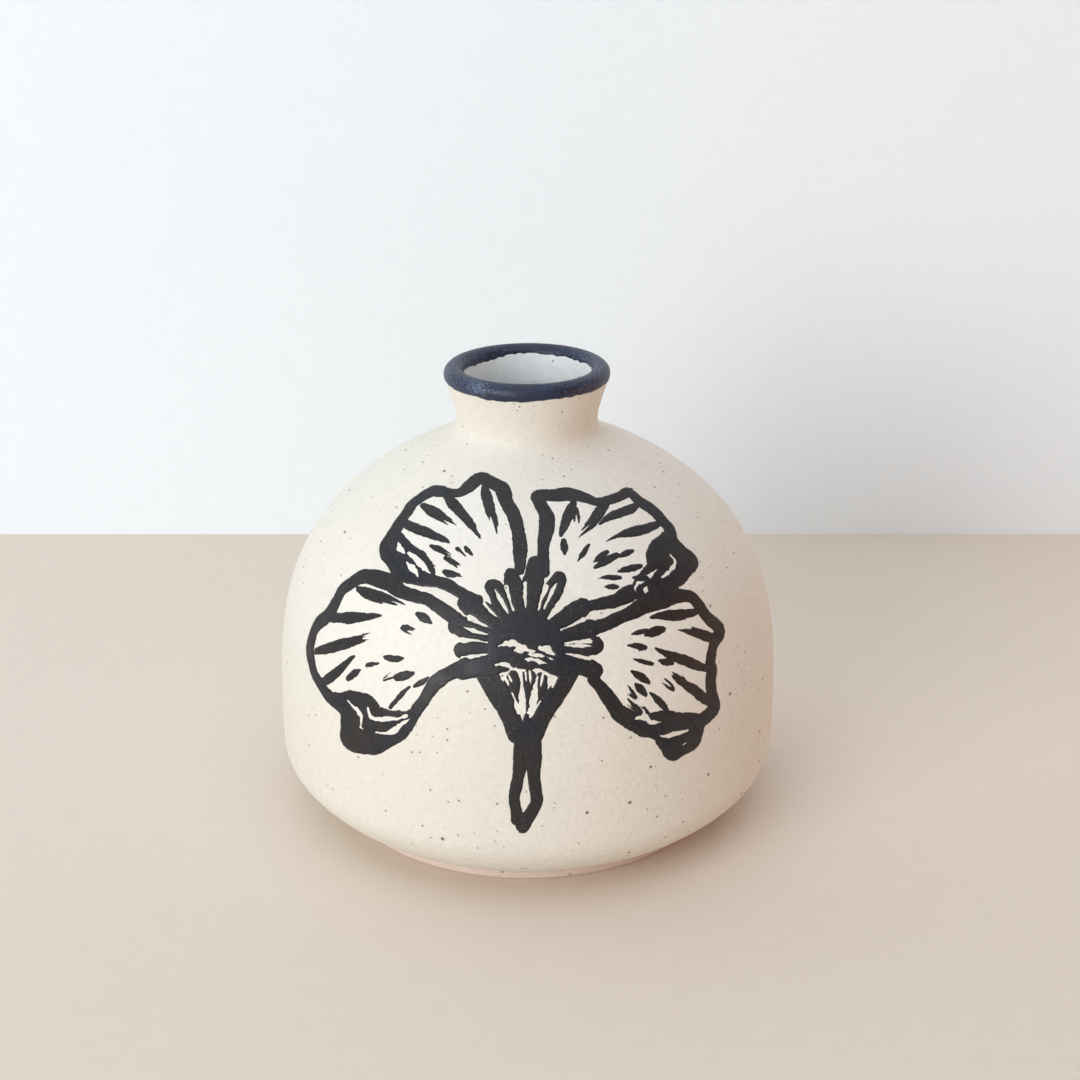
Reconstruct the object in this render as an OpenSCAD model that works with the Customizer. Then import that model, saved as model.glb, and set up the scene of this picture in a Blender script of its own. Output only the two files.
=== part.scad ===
// Squat round bud vase in thrown stoneware: a closed, domed body on a turned foot ring,
// a short flared neck with a rolled lip, a clear glaze liner inside, a painted band
// round the lip and a brush-painted blossom on the front.
// Millimetres, +Z up, origin at the centre of the foot, blossom facing -Y.

/* [Body] */
// Diameter at the widest part of the belly
belly_d = 110; // [100:1:120]
// Height of the widest part of the belly
belly_z = 14; // [12:0.5:16]
// Height at which the dome would close without a neck
dome_z = 89.5; // [87:0.5:91]
// How long the sides stay upright before the dome turns in
dome_flat = 3.8; // [3:0.1:4.5]
// How pointed the dome is: 1 is a cone, 2 is a ball
dome_round = 1.25; // [1.1:0.01:1.4]
// Thickness of the thrown wall
wall = 4.2; // [3.5:0.1:5]

/* [Foot] */
// Outer diameter of the turned foot ring
foot_d = 85; // [82:1:90]
// Height of the foot ring, which is the depth of the recess under the base
foot_h = 2; // [1.5:0.1:3]
// Width of the face that the vase stands on
foot_w = 6.5; // [5:0.5:8]
// Thickness of the base
base_t = 4.6; // [4:0.1:6]

/* [Neck] */
// Overall height of the vase
vase_h = 100; // [98:0.5:102]
// Outer diameter at the narrowest part of the neck
waist_d = 30; // [29:0.2:32]
// Outer diameter at the lip
lip_d = 35.2; // [34:0.1:37]
// Radius of the rolled edge of the lip
lip_r = 2.1; // [1.8:0.1:2.3]
// Bore of the throat, where a stem or a stopper stands
throat_d = 24; // [22:0.5:24.5]

/* [Coats] */
// Thickness of the painted band and lines
paint_t = 0.2; // [0.15:0.05:0.3]
// Thickness of the white wash inside the petals
wash_t = 0.1; // [0.05:0.05:0.1]
// Thickness of the glaze liner
glaze_t = 0.4; // [0.3:0.1:0.6]
// How far down the outside of the neck the band reaches
band_h = 1.5; // [1.5:0.1:5]

/* [Blossom] */
// Height of the blossom's heart on the body
heart_z = 57; // [54:1:60]
// Angle above the level from which the blossom is laid out
view_tilt = 27; // [20:1:30]
// Width of a painted outline
line_w = 3.2; // [2.4:0.1:3.6]

/* [Hidden] */
$fn = 96;

belly_r = belly_d / 2;
foot_r = foot_d / 2;
waist_r = waist_d / 2;
throat_r = throat_d / 2;
root_r = foot_r - 1;                 // where the body leaves the foot ring
base_r = 40;                         // radius of the base disc between the walls
floor_z = foot_h + base_t;           // inside floor
turn_power = 1.37;                   // roundness of the turn from foot to belly
waist_z = 88.5;                      // narrowest part of the neck
seam_z = 87.5;                       // joint between body and neck
lip_z = vase_h - paint_t - lip_r;    // centre of the rolled edge
lip_c = lip_d / 2 - lip_r;           // radius to that centre
flare_power = 1.3;                   // curve of the neck's flare
throat_top = 91.5;                   // upper end of the straight throat
liner_z = 83;                        // upper edge of the glaze liner
fillet = 5;                          // reach of the blend between dome and neck
edge = 0.5;                          // worn bevel on the foot's edges

clay = "#E9E0D3";
clay_foot = "#E3CFC0";
band_blue = "#3A4152";
ink = "#35333A";
wash = "#F1EDE2";
liner = "#CFCDC8";

// Outline of the body

function clamp01(x) = min(1, max(0, x));

// quarter of a superellipse from the root of the foot out to the belly
function turn_at(z, r_root, r_out, z0) =
    let (t = clamp01((z - z0) / (belly_z - z0)))
    r_root + (r_out - r_root) * pow(1 - pow(1 - t, turn_power), 1 / turn_power);

// dome: upright at the belly, sloping in to a blunt point at z_top
function dome_at(z, r_out, z_top) =
    let (u = clamp01((z - belly_z) / (z_top - belly_z)))
    r_out * pow(1 - pow(u, dome_flat), 1 / dome_round);

// neck: straight below z0, then flaring from r0 to r1 at z1
function neck_at(z, r0, r1, z0, z1, power) =
    r0 + (r1 - r0) * pow(clamp01((z - z0) / (z1 - z0)), power);

// larger of two radii, rounded off where they cross
function blend(a, b) =
    let (h = max(0, fillet - abs(a - b)) / fillet)
    max(a, b) + h * h * fillet / 4;

function outer_neck(z) = neck_at(z, waist_r, lip_d / 2, waist_z, lip_z, flare_power);
function inner_neck(z) = neck_at(z, throat_r, lip_c - lip_r, throat_top, lip_z, 1.5);
function outer_at(z) = z <= belly_z
    ? turn_at(z, root_r, belly_r, foot_h)
    : blend(dome_at(z, belly_r, dome_z), outer_neck(z));
function inner_at(z, t = 0) = z <= belly_z
    ? turn_at(z, base_r - t, belly_r - wall - t, floor_z)
    : blend(dome_at(z, belly_r - wall - t, dome_z - wall - t), throat_r - t);

// heights at which the outlines are drawn, closer together where they turn
turn_steps = 8;
dome_steps = 26;
neck_steps = 7;
lip_steps = 14;
function turn_zs(z0) = [for (i = [0 : turn_steps - 1]) z0 + (belly_z - z0) * pow(i / turn_steps, 2)];
function dome_zs(z1) = [for (i = [0 : dome_steps])
    belly_z + (z1 - belly_z) * (1 - pow(1 - i / dome_steps, 1.3))];
function neck_zs(z0) = [for (i = [0 : neck_steps - 1]) z0 + (lip_z - z0) * i / neck_steps];

outer_zs = concat(turn_zs(foot_h), dome_zs(seam_z));
inner_zs = concat(turn_zs(floor_z), dome_zs(seam_z));
liner_zs = [for (z = inner_zs) if (z < liner_z) z];

function reverse(list) = [for (i = [len(list) - 1 : -1 : 0]) list[i]];

// the neck's upper end from the outside over the lip to the inside, grown by t
band_zs = [for (z = neck_zs(seam_z)) if (z > lip_z - band_h) z];
inner_band_zs = [for (z = neck_zs(throat_top)) if (z > lip_z - 1.2) z];
function lip_outline(t, outer, inner) = concat(
    [for (z = outer) [outer_neck(z) + t, z]],
    [for (i = [0 : lip_steps]) let (a = 180 * i / lip_steps)
        [lip_c + (lip_r + t) * cos(a), lip_z + (lip_r + t) * sin(a)]],
    [for (z = reverse(inner)) [inner_neck(z) - t, z]]
);

// Thrown clay

module foot_ring() {
    color(clay_foot)
    rotate_extrude()
    polygon([
        [foot_r - foot_w + edge, 0], [foot_r - edge, 0], [foot_r, edge],
        [foot_r, foot_h - edge / 2], [foot_r - edge / 2, foot_h],
        [foot_r - foot_w, foot_h], [foot_r - foot_w, edge]
    ]);
}

module base_floor() {
    color(clay)
    translate([0, 0, foot_h])
    cylinder(r = base_r, h = base_t);
}

module body_wall() {
    color(clay)
    rotate_extrude()
    polygon(concat(
        [[base_r, floor_z], [base_r, foot_h]],
        [for (z = outer_zs) [outer_at(z), z]],
        [for (z = reverse(inner_zs)) if (z > floor_z) [inner_at(z), z]]
    ));
}

module neck_collar() {
    color(clay)
    rotate_extrude()
    polygon(concat(
        lip_outline(0, neck_zs(seam_z), neck_zs(throat_top)),
        [[throat_r, seam_z]]
    ));
}

// Glaze and paint

module inner_glaze() {
    color(liner)
    rotate_extrude()
    polygon(concat(
        [[0, floor_z]],
        [for (z = liner_zs) [inner_at(z), z]],
        [for (z = reverse(liner_zs)) [inner_at(z, glaze_t), max(z, floor_z + glaze_t)]],
        [[0, floor_z + glaze_t]]
    ));
}

module rim_band() {
    color(band_blue)
    rotate_extrude()
    polygon(concat(
        lip_outline(paint_t, band_zs, inner_band_zs),
        reverse(lip_outline(0, band_zs, inner_band_zs))
    ));
}

// Painted blossom, laid out flat and pressed on to the body's front

paint_zs = [for (z = outer_zs) if (z > belly_z && z < seam_z - 1) z];

// coat of the body from t0 to t1 above the clay
module coat(t0, t1) {
    rotate_extrude()
    polygon(concat(
        [for (z = paint_zs) [outer_at(z) + t0, z]],
        [for (z = reverse(paint_zs)) [outer_at(z) + t1, z]]
    ));
}

// a flat shape, seen from the front and view_tilt above, brought on to the body
module on_front(t0, t1) {
    reach = 50;
    intersection() {
        coat(t0, t1);
        translate([
            0,
            reach * cos(view_tilt) - outer_at(heart_z),
            heart_z - reach * sin(view_tilt)
        ])
        rotate([90 - view_tilt, 0, 0])
        linear_extrude(reach + 30)
        children();
    }
}

// a petal is a fan about the heart: [direction, half spread, length, ruffle phase],
// with directions in degrees to the right of straight up
petals = [
    [-93, 30, 44, 20],
    [-30, 30, 40, 140],
    [ 36, 31, 40, 60],
    [ 98, 29, 42, 200]
];
petal_steps = 30;
heart_gap = 6;                       // the petals start this far from the heart

function fan_point(direction, distance) =
    [distance * sin(direction), distance * cos(direction)];

// the outline runs up one side of the fan, over a ruffled edge and down the other
function petal_outline(p, inset) = [for (i = [0 : petal_steps])
    let (
        t = i / petal_steps,
        spread = p[1] - inset * 1.6,
        rise = pow(sin(180 * t), 0.5),
        ruffle = 1 + 0.045 * cos(900 * t + p[3]),
        distance = heart_gap + inset + (p[2] - heart_gap - 2 * inset) * rise * ruffle
    )
    fan_point(p[0] - spread * cos(180 * t), distance)
];

module petal_insides() {
    for (p = petals)
        polygon(petal_outline(p, line_w));
}

// one touch of the brush: a lens of the given length and width, pointing up
module dab(length, width) {
    steps = 5;
    polygon(concat(
        [for (i = [0 : steps]) [width / 2 * sin(180 * i / steps), length * i / steps]],
        [for (i = [steps - 1 : -1 : 1]) [-width / 2 * sin(180 * i / steps), length * i / steps]]
    ));
}

module dab_at(direction, distance, length, width) {
    point = fan_point(direction, distance);
    translate(point)
    rotate(-direction)
    dab(length, width);
}

vein_w = 1.5;
module vein_marks() {
    for (p = petals)
        for (k = [-2 : 2])
            dab_at(p[0] + k * 6, p[2] * (k % 2 == 0 ? 0.46 : 0.6), 7, vein_w);
}

module petal_wash() {
    color(wash)
    on_front(0, wash_t)
    difference() {
        petal_insides();
        vein_marks();
    }
}

module petal_outlines() {
    color(ink)
    on_front(0, paint_t)
    difference() {
        for (p = petals)
            polygon(petal_outline(p, 0));
        petal_insides();
        heart_shape();
    }
}

module petal_veins() {
    color(ink)
    on_front(0, paint_t)
    vein_marks();
}

// heart of the blossom: a round dab with stamens standing out of it like a fan
stamen_count = 13;
heart_r = 8;
module heart_shape() {
    circle(r = heart_r);
    for (i = [0 : stamen_count - 1])
        dab_at(-112 + 224 * i / (stamen_count - 1), heart_r - 3, 9.4, 3.2);
}

module stamens() {
    color(ink)
    on_front(0, paint_t)
    heart_shape();
}

// calyx and short stem, with the clay showing through a slit near its end
module stem() {
    color(ink)
    on_front(0, paint_t)
    difference() {
        polygon([
            [-10, -4], [10, -4], [6.6, -10], [3.6, -15.5], [3, -20], [2.8, -26], [3.2, -31],
            [0.2, -36.5], [-2.8, -33.5], [-3.2, -30], [-2.4, -25], [-2.4, -20], [-3.6, -15],
            [-6.6, -9.5]
        ]);
        circle(r = heart_r);
        for (p = petals)
            polygon(petal_outline(p, 0));
        translate([0.1, -33])
        dab(7, 1.2);
    }
}

foot_ring();
base_floor();
body_wall();
neck_collar();
inner_glaze();
rim_band();
petal_wash();
petal_outlines();
petal_veins();
stamens();
stem();
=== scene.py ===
import bpy
import numpy as np
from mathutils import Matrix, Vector


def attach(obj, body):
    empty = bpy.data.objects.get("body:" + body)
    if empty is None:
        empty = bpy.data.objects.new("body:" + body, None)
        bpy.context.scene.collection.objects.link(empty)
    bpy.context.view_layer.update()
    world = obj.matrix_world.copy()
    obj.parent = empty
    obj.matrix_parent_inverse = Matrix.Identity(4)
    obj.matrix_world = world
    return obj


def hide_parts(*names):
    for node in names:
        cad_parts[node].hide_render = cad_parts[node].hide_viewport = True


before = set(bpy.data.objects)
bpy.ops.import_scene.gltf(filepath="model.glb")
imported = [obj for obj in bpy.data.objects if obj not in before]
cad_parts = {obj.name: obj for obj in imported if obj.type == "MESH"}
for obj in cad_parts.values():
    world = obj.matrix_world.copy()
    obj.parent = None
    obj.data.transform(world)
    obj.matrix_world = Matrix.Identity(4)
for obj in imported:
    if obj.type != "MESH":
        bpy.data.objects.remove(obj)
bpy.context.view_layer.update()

print("frame loaded:", sorted(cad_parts))

# Shapes are worked out in millimetres and turned to metres when a mesh is made.
# Angles run round the vase from the front (-Y) towards the right (+X).

turned = {
    "bellyRadius": 55.0,      # widest part of the belly
    "bellyHeight": 14.0,
    "domeTop": 89.5,          # height at which the dome would close
    "domeFlat": 3.8,          # how long the sides stay upright
    "domeRound": 1.25,        # how pointed the dome is
    "rootRadius": 41.5,       # where the body leaves the foot
    "turnPower": 1.37,        # roundness of the turn from foot to belly
    "wall": 4.2,
    "baseRadius": 40.0,
    "footHeight": 2.0,
    "floorHeight": 6.6,
    "waistRadius": 15.0,
    "waistHeight": 88.5,
    "seamHeight": 87.5,       # joint of body and neck
    "throatRadius": 12.0,
    "throatTop": 91.5,
    "lipCentreRadius": 15.5,
    "lipHeight": 97.7,        # centre of the rolled lip
    "lipRoll": 2.1,
    "flarePower": 1.3,
    "fillet": 5.0,            # reach of the blend between dome and neck
    "turns": 288,             # faces round the vase
}


def softMax(first, second, reach):
    # the larger value, plus a quarter of reach times the square of how near they are
    near = np.maximum(0, reach - np.abs(first - second)) / reach
    return np.maximum(first, second) + near * near * reach / 4


def footTurn(height, inner, outer, start):
    # quarter superellipse from the inner radius at start out to the outer radius at the belly
    rise = np.clip((height - start) / (turned["bellyHeight"] - start), 0, 1)
    power = turned["turnPower"]
    return inner + (outer - inner) * (1 - (1 - rise) ** power) ** (1 / power)


def domeRadius(height, outer, top):
    # outer times (1 - u^flat)^(1/round), u running from 0 at the belly to 1 at the top
    rise = np.clip((height - turned["bellyHeight"]) / (top - turned["bellyHeight"]), 0, 1)
    return outer * (1 - rise ** turned["domeFlat"]) ** (1 / turned["domeRound"])


def neckRadius(height):
    # straight up to the waist, then widening to the lip by a power of the rise
    lipRadius = turned["lipCentreRadius"] + turned["lipRoll"]
    rise = np.clip((height - turned["waistHeight"]) / (turned["lipHeight"] - turned["waistHeight"]), 0, 1)
    return turned["waistRadius"] + (lipRadius - turned["waistRadius"]) * rise ** turned["flarePower"]


def throatWidth(height):
    # straight throat, then widening to the inside of the lip by the power 1.5
    mouth = turned["lipCentreRadius"] - turned["lipRoll"]
    rise = np.clip((height - turned["throatTop"]) / (turned["lipHeight"] - turned["throatTop"]), 0, 1)
    return turned["throatRadius"] + (mouth - turned["throatRadius"]) * rise ** 1.5


def bodyRadius(height):
    # foot turn below the belly; above it the dome blended into the neck
    height = np.asarray(height, float)
    low = footTurn(height, turned["rootRadius"], turned["bellyRadius"], turned["footHeight"])
    dome = domeRadius(height, turned["bellyRadius"], turned["domeTop"])
    high = softMax(dome, neckRadius(height), turned["fillet"])
    return np.where(height < turned["bellyHeight"], low, high)


def hollowRadius(height, coat=0.0):
    # the same outline drawn in by the wall's thickness, less a coat
    low = footTurn(height, turned["baseRadius"] - coat, turned["bellyRadius"] - turned["wall"] - coat,
                   turned["floorHeight"])
    dome = domeRadius(height, turned["bellyRadius"] - turned["wall"] - coat,
                      turned["domeTop"] - turned["wall"] - coat)
    high = softMax(dome, turned["throatRadius"] - coat, turned["fillet"])
    return np.where(height < turned["bellyHeight"], low, high)


def handWobble(angle, height):
    # slow waves round and up the vase plus a faint throwing spiral, in millimetres
    slow = 0.07 * np.sin(2 * angle + 0.6 + height / 31) + 0.045 * np.sin(3 * angle - height / 17)
    spiral = 0.012 * np.sin(2 * np.pi * height / 3.4 + angle)
    return (slow + spiral) * np.clip((height - 2) / 8, 0, 1)


def resample(outline, step):
    # points at even distances along a broken line
    outline = np.asarray(outline, float)
    run = lengthAlong(outline)
    even = np.linspace(0, run[-1], max(2, int(round(run[-1] / step)) + 1))
    return np.stack([np.interp(even, run, outline[:, 0]), np.interp(even, run, outline[:, 1])], -1)


def relax(outline, rounds):
    # each inner point moves to the mean of itself and its neighbours, which rounds the corners
    for _ in range(rounds):
        outline = np.vstack([outline[:1],
                             (outline[:-2] + 2 * outline[1:-1] + outline[2:]) / 4,
                             outline[-1:]])
    return outline


def surfacePoints(outline, angles, wobble=1.0):
    # every outline point (radius, height) carried round: x = r sin a, y = -r cos a
    radius, height = outline[:, :1], outline[:, 1:]
    angles = np.asarray(angles)[None, :]
    swing = radius + wobble * handWobble(angles, height) * np.clip(radius / 10, 0, 1)
    return np.stack([swing * np.sin(angles), -swing * np.cos(angles), height + 0 * angles], -1)


def unit(vectors):
    # each row divided by its own length
    return vectors / np.linalg.norm(vectors, axis=1, keepdims=True)


def smoothStep(part):
    # 3 parts squared less 2 parts cubed
    return part * part * (3 - 2 * part)


def lengthAlong(line):
    # how far each point of a flat line lies from its start
    return np.concatenate([[0], np.cumsum(np.hypot(*np.diff(line, axis=0).T))])


def surfaceNormals(outline, angles):
    # a quarter turn from the outline's own direction, carried round
    direction = unit(np.gradient(outline, axis=0))
    outward, upward = direction[:, 1:], -direction[:, :1]
    angles = np.asarray(angles)[None, :]
    return np.stack([outward * np.sin(angles), -outward * np.cos(angles), upward + 0 * angles], -1)


def makePiece(name, points, faceLists, material, node, sharp=50, values=None):
    # points in millimetres and lists of equal-sided faces become one smooth-shaded mesh object
    mesh = bpy.data.meshes.new(name)
    corners = np.concatenate([faces.ravel() for faces in faceLists]).astype(np.int32)
    sizes = np.concatenate([np.full(len(faces), faces.shape[1]) for faces in faceLists])
    starts = np.concatenate([[0], np.cumsum(sizes)[:-1]]).astype(np.int32)
    mesh.vertices.add(len(points))
    mesh.vertices.foreach_set("co", (points * 0.001).astype(np.float32).ravel())
    mesh.loops.add(len(corners))
    mesh.loops.foreach_set("vertex_index", corners)
    mesh.polygons.add(len(sizes))
    mesh.polygons.foreach_set("loop_start", starts)
    mesh.update(calc_edges=True)
    for key, kind, data in values or []:
        field = "vector" if kind == "FLOAT_VECTOR" else "value"
        mesh.attributes.new(key, kind, "POINT").data.foreach_set(field, data.astype(np.float32).ravel())
    mesh.validate()
    mesh.shade_smooth()
    mesh.set_sharp_from_angle(angle=np.radians(sharp))
    mesh.materials.append(material)
    piece = bpy.data.objects.new(name, mesh)
    bpy.context.scene.collection.objects.link(piece)
    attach(piece, "root")
    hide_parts(node)
    print("made", name, "with", int((sizes - 2).sum()), "triangles")


def turnOutline(outline, closed, wobble=1.0):
    # a closed outline becomes a ring; an open one starts and ends in a pole on the axis
    count = turned["turns"]
    angles = np.linspace(-np.pi, np.pi, count, endpoint=False)
    if closed:
        points = surfacePoints(outline, angles, wobble)
        index = np.arange(len(outline) * count).reshape(len(outline), count)
        rowUp, columnOn = np.roll(index, -1, 0), np.roll(index, -1, 1)
        faces = np.stack([index, columnOn, np.roll(rowUp, -1, 1), rowUp], -1).reshape(-1, 4)
        return points.reshape(-1, 3), [faces]
    inner = outline[1:-1]
    points = surfacePoints(inner, angles, wobble)
    index = np.arange(len(inner) * count).reshape(len(inner), count)
    onward = np.roll(index, -1, 1)
    quads = np.stack([index[:-1], onward[:-1], onward[1:], index[1:]], -1).reshape(-1, 4)
    firstPole, lastPole = index.size, index.size + 1
    startFan = np.stack([np.full(count, firstPole), onward[0], index[0]], -1)
    endFan = np.stack([index[-1], onward[-1], np.full(count, lastPole)], -1)
    poles = np.array([[0, 0, outline[0, 1]], [0, 0, outline[-1, 1]]])
    return np.vstack([points.reshape(-1, 3), poles]), [quads, startFan, endFan]


def linearColour(text):
    # sRGB hex to linear: value / 12.92 when dark, else ((value + 0.055) / 1.055) to the 2.4
    values = np.array([int(text[i:i + 2], 16) for i in (1, 3, 5)]) / 255
    linear = np.where(values <= 0.04045, values / 12.92, ((values + 0.055) / 1.055) ** 2.4)
    return (*linear.tolist(), 1.0)


def addNode(tree, kind, inputs=None, **settings):
    # one node; inputs are numbers, hex colours, another node's output, or a node for its first live output
    node = tree.nodes.new("ShaderNode" + kind)
    for name, value in settings.items():
        setattr(node, name, value)
    for name, value in (inputs or {}).items():
        if isinstance(value, bpy.types.Node):
            value = next(output for output in value.outputs if output.enabled)
        if isinstance(value, bpy.types.NodeSocket):
            tree.links.new(value, node.inputs[name])
        else:
            node.inputs[name].default_value = linearColour(value) if isinstance(value, str) else value
    return node


def startMaterial(name, roughness, ior=1.5):
    # an empty tree with a Principled shader; returns the tree, the shader and Object coordinates
    material = bpy.data.materials.new(name)
    material.use_nodes = True
    tree = material.node_tree
    tree.nodes.clear()
    shader = addNode(tree, "BsdfPrincipled", {"Roughness": roughness, "IOR": ior})
    addNode(tree, "OutputMaterial", {"Surface": shader})
    return material, tree, shader, addNode(tree, "TexCoord").outputs["Object"]


def setShader(tree, shader, links):
    # joins each named input of the shader to a node's first live output
    for name, node in links.items():
        tree.links.new(next(output for output in node.outputs if output.enabled), shader.inputs[name])


def perMetre(millimetres):
    # texture scale that gives features of this size on coordinates in metres
    return 1000.0 / millimetres


mixFactor, mixFirst, mixSecond = 0, 6, 7     # sockets of the colour Mix node

speckled = {
    "clay": "#EBE6DA",        # fired stoneware under a clear matte glaze
    "cool": "#E5E2D9",
    "warm": "#ECE2D0",
    "inside": "#E6E8E6",      # greyer inside the neck: painted shade
    "speck": "#6E5846",       # iron specks
    "fleck": "#A08C78",
    "specks": [(1.9, 0.27, 0.8), (4.2, 0.44, 0.85), (1.15, 0.13, 0.45)],  # spacing, radius (mm), depth
    "roughness": 0.56,
}


def speckMask(tree, place, spacing, radius, strength, soft=0.12):
    # distance to the nearest scattered point, less a random part of the radius, below zero is a speck
    cells = addNode(tree, "TexVoronoi", {"Vector": place, "Scale": perMetre(spacing)})
    chance = addNode(tree, "SeparateColor", {"Color": cells.outputs["Color"]})
    size = addNode(tree, "MapRange", {"Value": chance, "To Min": -0.2 * radius / spacing,
                   "To Max": radius / spacing})
    reach = addNode(tree, "Math", {0: cells, 1: size}, operation="SUBTRACT")
    return addNode(tree, "MapRange", {"Value": reach, "From Min": 0.5 * soft / spacing,
                   "From Max": -0.5 * soft / spacing, "To Max": strength}, interpolation_type="SMOOTHSTEP")


def clayMaterial(name, look):
    # Wheel-thrown stoneware under a thin clear matte glaze: a soft, even cream with slow warm and cool
    # drifts, faint grain, and brown iron specks that have melted a little at their edges.
    roughness = look["roughness"]
    material, tree, shader, place = startMaterial(name, roughness)
    drift = addNode(tree, "TexNoise", {"Vector": place, "Scale": perMetre(38), "Detail": 2.0})
    base = addNode(tree, "Mix", {mixFactor: drift, mixFirst: look["cool"], mixSecond: look["warm"]},
                   data_type="RGBA")
    even = addNode(tree, "Mix", {mixFactor: 0.55, mixFirst: base, mixSecond: look["clay"]},
                   data_type="RGBA")
    # the inside attribute marks the inside of the neck, which gets a greyer colour as painted shade
    inside = addNode(tree, "Attribute", attribute_name="inside").outputs["Fac"]
    body = addNode(tree, "Mix", {mixFactor: inside, mixFirst: even, mixSecond: look["inside"]},
                   data_type="RGBA")
    grain = addNode(tree, "TexNoise", {"Vector": place, "Scale": perMetre(1.1), "Detail": 3.0})
    shade = addNode(tree, "MapRange", {"Value": grain, "From Min": 0.35, "From Max": 0.65,
                    "To Min": 0.965, "To Max": 1.02})
    colour = addNode(tree, "VectorMath", {0: body, "Scale": shade}, operation="SCALE")
    for speck, tone in zip(look["specks"], ("speck", "speck", "fleck")):
        colour = addNode(tree, "Mix", {mixFactor: speckMask(tree, place, *speck), mixFirst: colour,
                         mixSecond: look[tone]}, data_type="RGBA")
    rough = addNode(tree, "MapRange", {"Value": drift, "From Min": 0.3, "From Max": 0.7,
                    "To Min": roughness - 0.05, "To Max": roughness + 0.06})
    dimple = addNode(tree, "TexNoise", {"Vector": place, "Scale": perMetre(0.8), "Detail": 2.0})
    bump = addNode(tree, "Bump", {"Strength": 0.8, "Distance": 0.00016, "Height": dimple})
    setShader(tree, shader, {"Base Color": colour, "Roughness": rough, "Normal": bump})
    return material


stoneware = clayMaterial("speckledMatteStoneware", speckled)

bareClay = {
    "clay": "#E3D0C2", "cool": "#DDCBBF", "warm": "#E6CFBB", "inside": "#E3D0C2",
    "speck": "#7A5F4C", "fleck": "#B49C86",
    "specks": [(2.3, 0.26, 0.7), (4.6, 0.38, 0.7), (1.25, 0.12, 0.4)],
    "roughness": 0.85,        # unglazed, fired and sanded: dry and slightly pink
}
footClay = clayMaterial("bareFiredClay", bareClay)

washLook = {
    "clay": "#EFEAE0", "cool": "#ECE9E0", "warm": "#F0E8D9", "inside": "#EFEAE0",
    "speck": "#7A6552", "fleck": "#B9A893",
    "specks": [(3.6, 0.24, 0.5)],  # most specks lie under the wash
    "roughness": 0.6,         # thin cream slip brushed inside the petals
}
creamWash = clayMaterial("thinCreamWash", washLook)

liner = {"light": "#DDDAD3", "grey": "#CFCCC6", "speck": "#7D6A58", "roughness": 0.42}


def linerMaterial():
    # Poured liner glaze: satin, slightly greyer and glossier than the outside, pooled unevenly.
    material, tree, shader, place = startMaterial("satinLinerGlaze", liner["roughness"])
    pool = addNode(tree, "TexNoise", {"Vector": place, "Scale": perMetre(14), "Detail": 3.0})
    base = addNode(tree, "Mix", {mixFactor: pool, mixFirst: liner["grey"], mixSecond: liner["light"]},
                   data_type="RGBA")
    colour = addNode(tree, "Mix", {mixFactor: speckMask(tree, place, 2.6, 0.26, 0.6), mixFirst: base,
                     mixSecond: liner["speck"]}, data_type="RGBA")
    bump = addNode(tree, "Bump", {"Strength": 0.3, "Distance": 0.0001, "Height": pool})
    setShader(tree, shader, {"Base Color": colour, "Normal": bump})
    return material


linerGlaze = linerMaterial()

ink = {
    "thin": "#1F1C1B",        # one coat: brown-black
    "thick": "#161823",       # coats that overlap: blue-black
    "grain": "#4B4640",       # clay grain through the paint
    "roughness": 0.5,
}


def inkMaterial():
    # Brushed iron-cobalt underglaze under the matte glaze: brown-black where it went on once, blue-black
    # where strokes overlap, with the clay's grain just breaking through.
    material, tree, shader, place = startMaterial("brushedBlackUnderglaze", ink["roughness"])
    coats = addNode(tree, "Attribute", attribute_name="coats").outputs["Fac"]
    double = addNode(tree, "MapRange", {"Value": coats, "From Min": 0.9, "From Max": 1.9})
    pool = addNode(tree, "TexNoise", {"Vector": place, "Scale": perMetre(3.2), "Detail": 3.0})
    patchy = addNode(tree, "Math", {0: pool, 1: 0.55, 2: -0.27}, operation="MULTIPLY_ADD")
    amount = addNode(tree, "Math", {0: double, 1: patchy}, operation="ADD", use_clamp=True)
    base = addNode(tree, "Mix", {mixFactor: amount, mixFirst: ink["thin"], mixSecond: ink["thick"]},
                   data_type="RGBA")
    grain = addNode(tree, "TexNoise", {"Vector": place, "Scale": perMetre(0.5), "Detail": 1.0})
    fleck = addNode(tree, "MapRange", {"Value": grain, "From Min": 0.6, "From Max": 0.74, "To Max": 0.6})
    colour = addNode(tree, "Mix", {mixFactor: fleck, mixFirst: base, mixSecond: ink["grain"]},
                     data_type="RGBA")
    rough = addNode(tree, "MapRange", {"Value": pool, "From Min": 0.3, "From Max": 0.7,
                    "To Min": ink["roughness"] - 0.08, "To Max": ink["roughness"] + 0.1})
    bump = addNode(tree, "Bump", {"Strength": 0.5, "Distance": 0.00006, "Height": grain})
    setShader(tree, shader, {"Base Color": colour, "Roughness": rough, "Normal": bump})
    return material


brushedInk = inkMaterial()

# the pale blue-grey serves for scuffed wear and for painted sheen on the lip's left and right sides
bandInk = {"dark": "#141C32", "light": "#232D48", "worn": "#76839C", "roughness": 0.45}


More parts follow.
